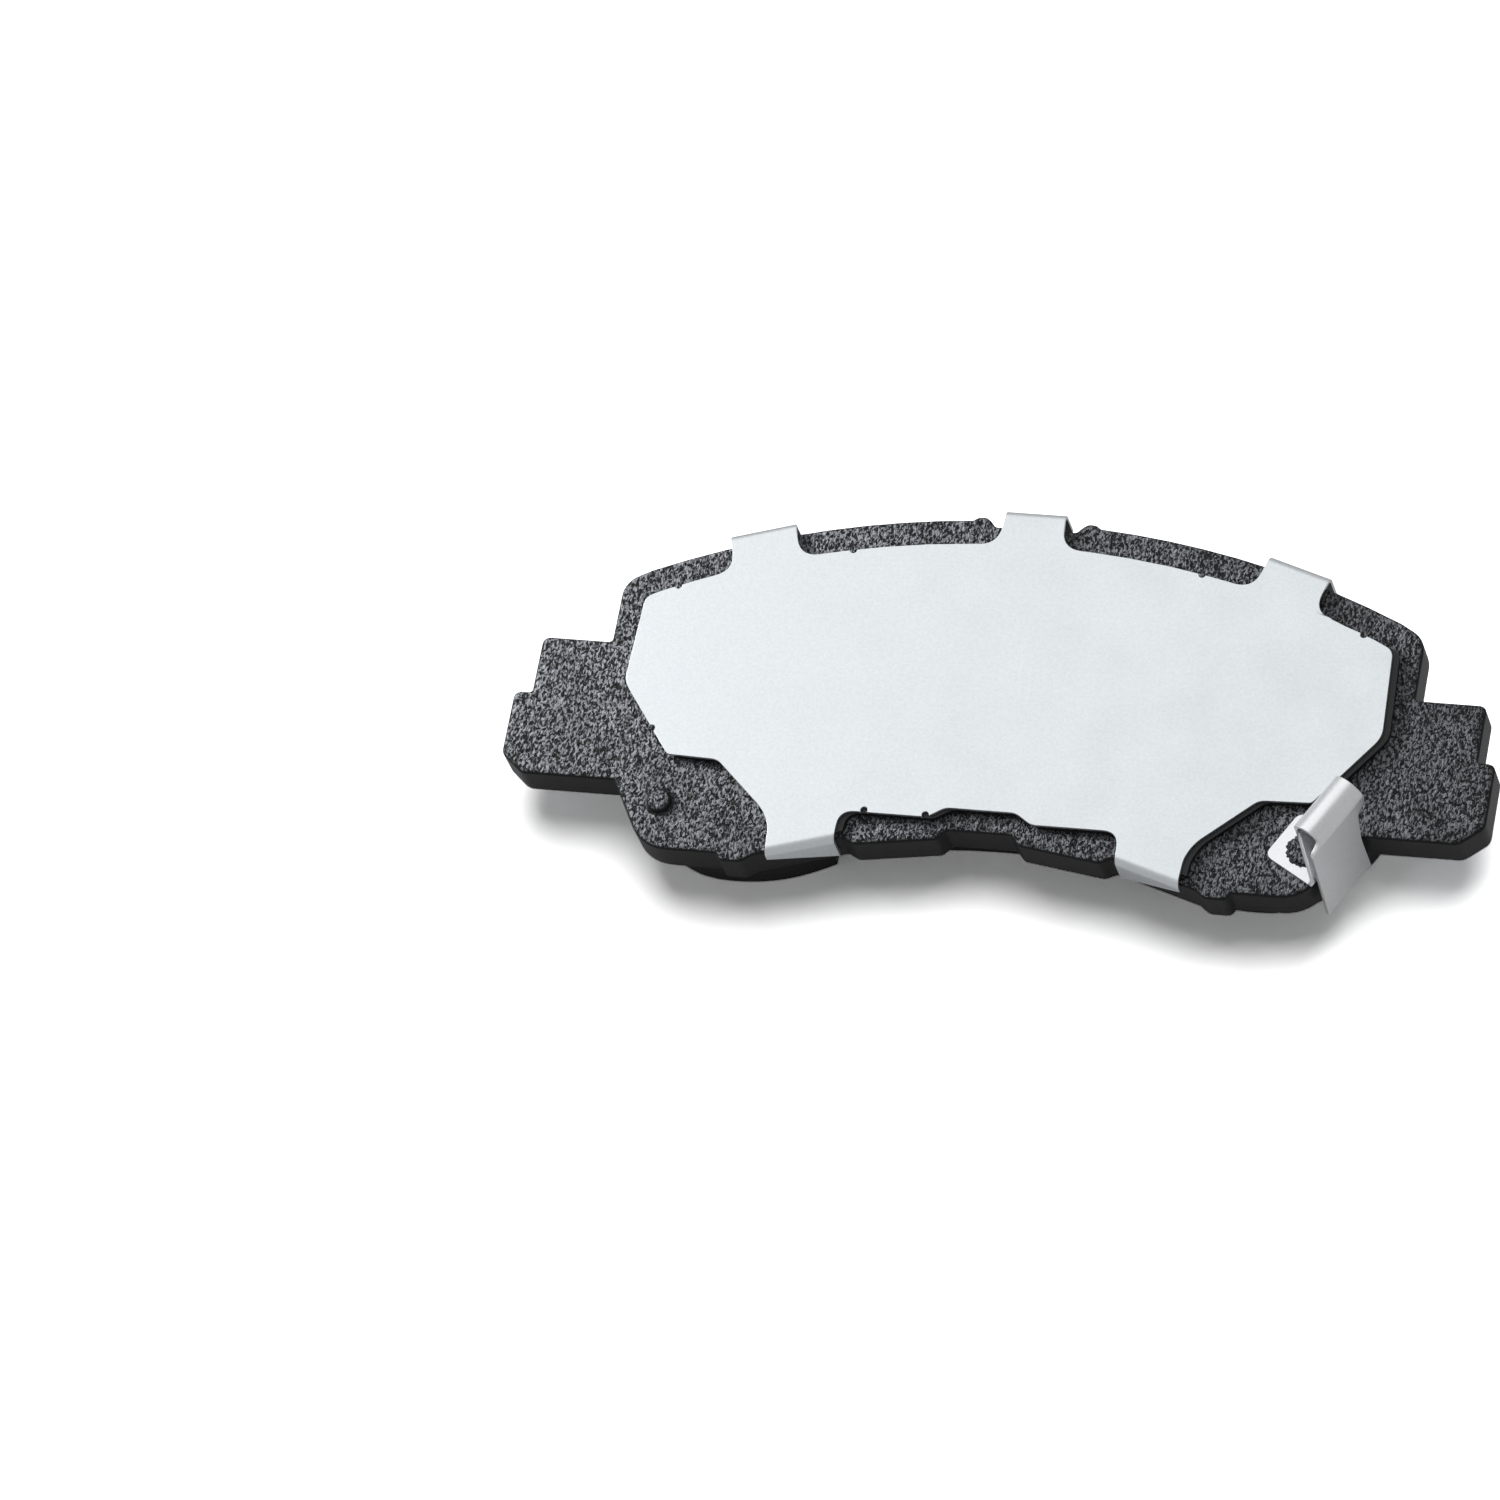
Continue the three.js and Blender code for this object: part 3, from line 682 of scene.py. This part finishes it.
class PAD_OT_backing_plate(bpy.types.Operator):
    """Builds the pressed steel plate with its rolled rim, plain stud and peened stud"""

    bl_idname = "pad.backing_plate"
    bl_label = "Backing plate"

    def execute(self, context):
        sizes = context.scene.pad_sizes
        coat = powder_coated_steel(context.scene.pad_colours)
        low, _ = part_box("backing_plate")
        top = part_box("inner_shim_film_plate_side")[0].z
        shape = outline_at("backing_plate", low.z)
        raise_outline(shape, top - low.z)
        self.roll_rim(shape, top, sizes)
        edges = [e for e in shape.edges if is_sharp(e) and abs(e.verts[0].co.z - e.verts[1].co.z) < WELD]
        round_edges(shape, edges, sizes.plate_edge, segments=3)
        make_piece(shape, "plate", PAD, coat, ["backing_plate"])
        self.add_plain_stud(top, coat)
        self.add_peened_stud(top, coat)
        return {"FINISHED"}

    def roll_rim(self, shape, top, sizes):
        """Insets the upper face and dips its rim, then insets once more so that the flat stays flat."""
        for width in (*(sizes.roll_width * share for share in RIM_RINGS), HOLDING_RING):
            level = [f for f in shape.faces if f.normal.z > LEVEL_NORMAL]
            upper = [f for f in level if max(v.co.z for v in f.verts) > top - WELD]
            largest = max(upper, key=lambda f: f.calc_area())
            bmesh.ops.inset_region(shape, faces=[largest], thickness=width, use_even_offset=True)
        flat = max((f for f in shape.faces if f.normal.z > LEVEL_NORMAL), key=lambda f: f.calc_area())
        kept = set(flat.verts)
        holding = {v for k in kept for e in k.link_edges for v in e.verts} - kept
        middle = {v for k in holding for e in k.link_edges for v in e.verts} - kept - holding
        outer = {v for v in shape.verts if abs(v.co.z - top) < WELD} - kept - holding - middle
        for vert in middle:
            vert.co.z -= sizes.roll_drop * RIM_MIDDLE_DROP
        for vert in outer:
            vert.co.z -= sizes.roll_drop

    def add_plain_stud(self, top, coat):
        """The domed stud on the left, which flares a little where it meets the plate."""
        low, high = box_above("backing_plate", top, -1)
        radius, height = (high.x - low.x) / 2, high.z - low.z
        centre = ((low.x + high.x) / 2, (low.y + high.y) / 2, top)
        dome = [
            (0, -ROOT_DEPTH),
            (radius, -ROOT_DEPTH),
            (radius * STUD_FOOT, 0),
            (radius * STUD_NECK, NECK_HEIGHT),
        ]
        for i in range(DOME_STEPS):
            climb = math.pi / 2 * i / DOME_STEPS
            rise = DOME_START + (1 - DOME_START) * math.sin(climb)
            dome.append((radius * math.cos(climb), height * rise))
        dome.append((0, height))
        make_piece(turned_piece(dome, centre, STUD_SIDES), "plain_stud", PAD, coat)

    def add_peened_stud(self, top, coat):
        """The stud on the right: a shank through the indicator's sheet, a torn rim and a cupped head."""
        low, high = box_above("backing_plate", top, 1)
        radius, height = (high.x - low.x) / 2, high.z - top
        centre = Vector(((low.x + high.x) / 2, (low.y + high.y) / 2, top))
        head = [
            (0, -ROOT_DEPTH),
            (radius * 0.74, -ROOT_DEPTH),
            (radius * 0.74, INDICATOR_SHEET),
            (radius, INDICATOR_SHEET),
            (radius * 0.97, INDICATOR_SHEET + 0.12 * MM),
            (radius * 0.88, INDICATOR_SHEET + 0.16 * MM),
            (radius * 0.82, height - 0.06 * MM),
            (radius * 0.6, height),
            (radius * 0.3, height - 0.12 * MM),
            (0, height - 0.16 * MM),
        ]
        shape = turned_piece(head, centre, HEAD_SIDES)
        underside = top + INDICATOR_SHEET - WELD
        for vert in shape.verts:
            away = Vector((vert.co.x - centre.x, vert.co.y - centre.y, 0))
            if vert.co.z > underside and away.length > radius * TORN_FROM:
                vert.co += away.normalized() * TEAR * noise.noise(vert.co * per(TEAR_SPACING))
        piece = make_piece(shape, "peened_stud", PAD, coat)
        piece.data.materials.append(cracked_rim())
        for face in piece.data.polygons:
            away = Vector((face.center.x - centre.x, face.center.y - centre.y, 0))
            if away.length > radius * CRACKED_FROM and face.center.z > underside:
                face.material_index = 1


class PAD_OT_friction_material(bpy.types.Operator):
    """Builds the three friction blocks, the underlayer and the bond line"""

    bl_idname = "pad.friction_material"
    bl_label = "Friction material"

    def execute(self, context):
        sizes = context.scene.pad_sizes
        colours = context.scene.pad_colours
        compound = friction_compound(colours)
        for node in ("friction_left", "friction_centre", "friction_right"):
            shape = welded_copy(node)
            round_edges(shape, [e for e in shape.edges if is_sharp(e)], sizes.block_edge, segments=3)
            make_piece(shape, node + "_block", PAD, compound, [node])
        shape = welded_copy("underlayer")
        round_edges(shape, [e for e in shape.edges if is_sharp(e)], sizes.block_edge, segments=3)
        make_piece(shape, "underlayer_layer", PAD, coarse_underlayer(colours), ["underlayer"])
        shape = welded_copy("bond_layer")
        make_piece(shape, "bond_line", PAD, cured_resin(colours), ["bond_layer"])
        return {"FINISHED"}


class PAD_OT_inner_shim(bpy.types.Operator):
    """Builds the inner shim: a dark steel sheet between two rubber films"""

    bl_idname = "pad.inner_shim"
    bl_label = "Inner shim"

    def execute(self, context):
        sizes = context.scene.pad_sizes
        colours = context.scene.pad_colours
        film = nitrile_film(colours)
        pressed_sheet("inner_shim_film_plate_side", sizes.film_edge, INNER_SHIM, film)
        pressed_sheet("inner_shim_core", sizes.film_edge, INNER_SHIM, dark_rolled_sheet(colours))
        pressed_sheet("inner_shim_film_outer_side", sizes.film_edge, INNER_SHIM, film)
        return {"FINISHED"}


class PAD_OT_outer_shim(bpy.types.Operator):
    """Builds the bright outer shim with its five bent tabs"""

    bl_idname = "pad.outer_shim"
    bl_label = "Outer shim"

    def execute(self, context):
        sizes = context.scene.pad_sizes
        tint = list(context.scene.pad_colours.steel)
        steel = satin_steel_sheet(
            "satin_stainless_sheet", tint, roughness=0.42, grain_size=0.45 * MM, depth=0.004 * MM
        )
        pressed_sheet("outer_shim", sizes.sheet_edge, OUTER_SHIM, steel)
        return {"FINISHED"}


class PAD_OT_wear_indicator(bpy.types.Operator):
    """Builds the wear indicator, a bent leaf of bright spring steel"""

    bl_idname = "pad.wear_indicator"
    bl_label = "Wear indicator"

    def execute(self, context):
        sizes = context.scene.pad_sizes
        tint = list(context.scene.pad_colours.spring)
        steel = satin_steel_sheet(
            "bright_rolled_spring_steel", tint, roughness=0.36, grain_size=0.35 * MM, depth=0.003 * MM
        )
        pressed_sheet("wear_indicator", sizes.sheet_edge, PAD, steel)
        return {"FINISHED"}


class PAD_OT_stage(bpy.types.Operator):
    """Sets up the white floor, the soft light and the camera"""

    bl_idname = "pad.stage"
    bl_label = "Stage"

    def execute(self, context):
        stage = context.scene.pad_stage
        self.add_floor(context, stage)
        self.add_sky(context, stage)
        self.add_key(context, stage)
        self.add_lamps(stage)
        self.add_camera(context, stage)
        context.scene.view_settings.view_transform = "Standard"
        return {"FINISHED"}

    def add_floor(self, context, stage):
        shape = bmesh.new()
        bmesh.ops.create_grid(shape, x_segments=1, y_segments=1, size=FLOOR_REACH)
        mesh = bpy.data.meshes.new("floor")
        shape.to_mesh(mesh)
        shape.free()
        mesh.materials.append(white_floor(context.scene.pad_colours, stage))
        floor = bpy.data.objects.new("floor", mesh)
        context.scene.collection.objects.link(floor)

    def add_sky(self, context, stage):
        """An even surround that lights softly, is brighter in reflections and looks white to the camera."""
        world = bpy.data.worlds.new("studio")
        world.use_nodes = True
        world.node_tree.nodes.clear()
        path = add_node(world, "ShaderNodeLightPath")
        reflected = add_node(
            world,
            "ShaderNodeMapRange",
            {"To Min": stage.sky, "To Max": stage.reflected_sky},
            {"Value": path.outputs["Is Glossy Ray"]},
        )
        seen = add_node(
            world,
            "ShaderNodeMapRange",
            {"To Max": 1.0},
            {"To Min": reflected.outputs["Result"], "Value": path.outputs["Is Camera Ray"]},
        )
        background = add_node(
            world, "ShaderNodeBackground", {"Color": (1, 1, 1, 1)}, {"Strength": seen.outputs["Result"]}
        )
        add_node(world, "ShaderNodeOutputWorld", links={"Surface": background.outputs["Background"]})
        context.scene.world = world

    def add_lamp(self, name, place, size, power):
        """A square softbox aimed at the middle of the pad."""
        light = bpy.data.lights.new(name, "AREA")
        light.shape = "SQUARE"
        light.size = size
        light.energy = power
        lamp = bpy.data.objects.new(name, light)
        lamp.location = place
        lamp.rotation_euler = Vector(place).to_track_quat("Z", "Y").to_euler()
        bpy.context.scene.collection.objects.link(lamp)
        return lamp

    def add_lamps(self, stage):
        """An overhead softbox and two near lamps on the left, which leave the floor to the key.

        The side fill doesn't show in reflections.
        """
        unlit = bpy.data.collections.new("not_lit_by_lamps")
        unlit.objects.link(bpy.data.objects["floor"])
        for name, (place, size) in LAMPS.items():
            lamp = self.add_lamp(name, place, size, getattr(stage, name))
            lamp.visible_glossy = name != "side_fill"
            lamp.light_linking.receiver_collection = unlit
        unlit.collection_objects[0].light_linking.link_state = "EXCLUDE"

    def add_key(self, context, stage):
        """A wide key light from above and behind, kept out of the polished faces' reflections."""
        light = bpy.data.lights.new("key", "SUN")
        light.energy = stage.key
        light.angle = KEY_ANGLE
        lamp = bpy.data.objects.new("key", light)
        lamp.rotation_euler = Vector(KEY_DIRECTION).to_track_quat("Z", "Y").to_euler()
        lamp.visible_glossy = False
        context.scene.collection.objects.link(lamp)

    def add_camera(self, context, stage):
        data = bpy.data.cameras.new("camera")
        data.lens = stage.lens
        data.sensor_width = SENSOR_WIDTH
        camera = bpy.data.objects.new("camera", data)
        flat = math.cos(stage.elevation)
        back = Vector(
            (math.sin(stage.azimuth) * flat, -math.cos(stage.azimuth) * flat, math.sin(stage.elevation))
        )
        aim = (-back).to_track_quat("-Z", "Y").to_matrix().to_4x4()
        turn = Matrix.Rotation(stage.roll, 4, "Z")
        camera.matrix_world = Matrix.Translation(Vector(stage.target) + back * stage.distance) @ aim @ turn
        context.scene.collection.objects.link(camera)
        context.scene.camera = camera


class PAD_PT_sidebar(bpy.types.Panel):
    """Lists the pad's sizes, colours and build steps in the sidebar"""

    bl_label = "Brake pad"
    bl_idname = "PAD_PT_sidebar"
    bl_space_type = "VIEW_3D"
    bl_region_type = "UI"
    bl_category = "Brake pad"

    def draw(self, context):
        for group in ("pad_sizes", "pad_colours", "pad_stage"):
            settings = getattr(context.scene, group)
            box = self.layout.box()
            for name in settings.bl_rna.properties.keys():
                if name not in ("rna_type", "name"):
                    box.prop(settings, name)
        for operator in OPERATORS:
            self.layout.operator(operator.bl_idname)


OPERATORS = (
    PAD_OT_backing_plate,
    PAD_OT_friction_material,
    PAD_OT_inner_shim,
    PAD_OT_outer_shim,
    PAD_OT_wear_indicator,
    PAD_OT_stage,
)
GROUPS = {"pad_sizes": PadSizes, "pad_colours": PadColours, "pad_stage": PadStage}


def register():
    for group in GROUPS.values():
        bpy.utils.register_class(group)
    for name, group in GROUPS.items():
        setattr(bpy.types.Scene, name, bpy.props.PointerProperty(type=group))
    for item in (*OPERATORS, PAD_PT_sidebar):
        bpy.utils.register_class(item)


def unregister():
    for item in (PAD_PT_sidebar, *reversed(OPERATORS)):
        bpy.utils.unregister_class(item)
    for name, group in GROUPS.items():
        delattr(bpy.types.Scene, name)
        bpy.utils.unregister_class(group)


def main():
    register()
    bpy.ops.pad.backing_plate()
    bpy.ops.pad.friction_material()
    bpy.ops.pad.inner_shim()
    bpy.ops.pad.outer_shim()
    bpy.ops.pad.wear_indicator()
    bpy.ops.pad.stage()


if __name__ == "__main__":
    main()
